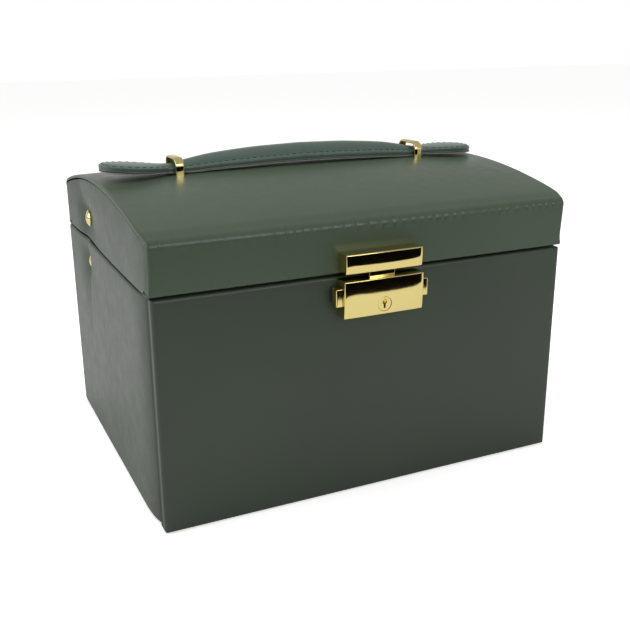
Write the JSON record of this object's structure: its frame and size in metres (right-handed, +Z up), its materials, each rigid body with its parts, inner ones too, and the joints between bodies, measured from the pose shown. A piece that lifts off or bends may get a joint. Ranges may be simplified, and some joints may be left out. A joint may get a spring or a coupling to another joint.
{
  "type": "tiered jewellery box",
  "caption": "Leather-covered jewellery case with an arched lid, strap handle and squeeze lock; levers draw its trays forward in steps as the lid opens.",
  "frame": {"origin": "on the table under the middle of the case, at the middle of the base's flat underside", "axes": "+X to the right as the front is seen, -Y out of the front, +Z up"},
  "size_m": [0.2448, 0.2097, 0.1818],
  "materials": {
    "leatherette": "smooth semi-matt, dark green",
    "handle_leather": "smooth semi-matt, dark blue-green, stitched",
    "velvet": "short pile, sand",
    "board": "fibre board",
    "base_cloth": "dark felt",
    "gold": "polished gold plate",
    "steel": "zinc plated",
    "mirror_glass": "silvered glass"
  },
  "bodies": {
    "case": {"base_sheet": "base_cloth", "base_board": "board", "drawer_runners": "board", "back_board": "board", "back_cover": "leatherette", "side_board_left": "board", "side_board_right": "board", "side_cover_left": "leatherette", "side_cover_right": "leatherette", "lever_rivets": "gold", "top_tray": "velvet", "top_tray_lining": "velvet", "ring_rolls": "velvet", "tray_blocks": "board", "hinge_leaves_case": "gold", "hinge_screws_case": "gold", "hinge_pins": "gold"},
    "lid": {"lid_front": "leatherette", "lid_back": "leatherette", "lid_side_left": "leatherette", "lid_side_right": "leatherette", "lid_top_board": "board", "lid_cover": "leatherette", "loop_left": "gold", "loop_right": "gold", "mirror_board": "velvet", "mirror": "mirror_glass", "mirror_frame": "velvet", "link_rivets": "gold", "hinge_leaves_lid": "gold", "hinge_screws_lid": "gold", "lock_upper_block": "gold", "lock_tongue": "gold"},
    "bottom_tier": {"bottom_drawer": "velvet", "bottom_drawer_lining": "velvet", "bottom_drawer_screws": "steel", "bottom_forks": "steel", "front_board": "board", "front_cover": "leatherette", "lock_back_plate": "steel", "lock_screws": "steel", "lock_housing": "gold", "spring_stops": "steel", "tab_spring_left": "steel", "tab_spring_right": "steel"},
    "middle_tier": {"middle_drawer": "velvet", "middle_drawer_lining": "velvet", "middle_drawer_screws": "steel", "middle_forks": "steel"},
    "lever_left": {"lever_left": "steel"},
    "lever_right": {"lever_right": "steel"},
    "link_left": {"link_left": "steel"},
    "link_right": {"link_right": "steel"},
    "squeeze_tab_left": {"squeeze_tab_left": "gold"},
    "squeeze_tab_right": {"squeeze_tab_right": "gold"},
    "key_plug": {"key_plug": "gold"},
    "handle_grip": {"handle_grip": "handle_leather"},
    "strap_end_left": {"strap_end_left": "handle_leather"},
    "strap_end_right": {"strap_end_right": "handle_leather"}
  },
  "joints": [
    {"name": "lid_hinge", "type": "hinge", "parent": "case", "child": "lid", "pos_m": [0, 0.1, 0.1258], "axis": [-1, 0, 0], "range_deg": [0, 92]},
    {"name": "bottom_drawer_slide", "type": "slide", "parent": "case", "child": "bottom_tier", "axis": [0, -1, 0], "range_m": [0, 0.08192]},
    {"name": "middle_drawer_slide", "type": "slide", "parent": "case", "child": "middle_tier", "axis": [0, -1, 0], "range_m": [0, 0.03952]},
    {"name": "lever_left_turn", "type": "hinge", "parent": "case", "child": "lever_left", "pos_m": [0, 0.0465, 0.111], "axis": [-1, 0, 0], "range_deg": [0, 92]},
    {"name": "link_left_turn", "type": "hinge", "parent": "lid", "child": "link_left", "pos_m": [0, 0.0465, 0.1377], "axis": [-1, 0, 0], "range_deg": [-92, 0]},
    {"name": "tab_left_press", "type": "slide", "parent": "bottom_tier", "child": "squeeze_tab_left", "axis": [1, 0, 0], "range_m": [0, 0.0025], "stiffness_N_per_m": 400, "springref_m": -0.003, "deforming": ["tab_spring_left"]},
    {"name": "strap_left_slide", "type": "slide", "parent": "handle_grip", "child": "strap_end_left", "axis": [0.3363, 0, -0.9417], "range_m": [0, 0.01487]},
    {"name": "lever_right_turn", "type": "hinge", "parent": "case", "child": "lever_right", "pos_m": [0, 0.0465, 0.111], "axis": [-1, 0, 0], "range_deg": [0, 92]},
    {"name": "link_right_turn", "type": "hinge", "parent": "lid", "child": "link_right", "pos_m": [0, 0.0465, 0.1377], "axis": [-1, 0, 0], "range_deg": [-92, 0]},
    {"name": "tab_right_press", "type": "slide", "parent": "bottom_tier", "child": "squeeze_tab_right", "axis": [-1, 0, 0], "range_m": [0, 0.0025], "stiffness_N_per_m": 400, "springref_m": -0.003, "deforming": ["tab_spring_right"]},
    {"name": "strap_right_slide", "type": "slide", "parent": "handle_grip", "child": "strap_end_right", "axis": [-0.3363, 0, -0.9417], "range_m": [0, 0.01487]},
    {"name": "key_turn", "type": "hinge", "parent": "bottom_tier", "child": "key_plug", "pos_m": [0, -0.1073, 0.1102], "axis": [0, -1, 0], "range_deg": [0, 90]},
    {"name": "handle_lift", "type": "slide", "parent": "lid", "child": "handle_grip", "axis": [0, 0, 1], "range_m": [0, 0.014]}
  ],
  "couplings": [
    {"joint": "bottom_drawer_slide", "follows": "lid_hinge", "m_per_rad": 0.051015},
    {"joint": "middle_drawer_slide", "follows": "lid_hinge", "m_per_rad": 0.024612},
    {"joint": "lever_left_turn", "follows": "lid_hinge", "ratio": 1},
    {"joint": "link_left_turn", "follows": "lid_hinge", "ratio": -1},
    {"joint": "strap_left_slide", "follows": "handle_lift", "ratio": 1.0619},
    {"joint": "lever_right_turn", "follows": "lid_hinge", "ratio": 1},
    {"joint": "link_right_turn", "follows": "lid_hinge", "ratio": -1},
    {"joint": "strap_right_slide", "follows": "handle_lift", "ratio": 1.0619}
  ]
}
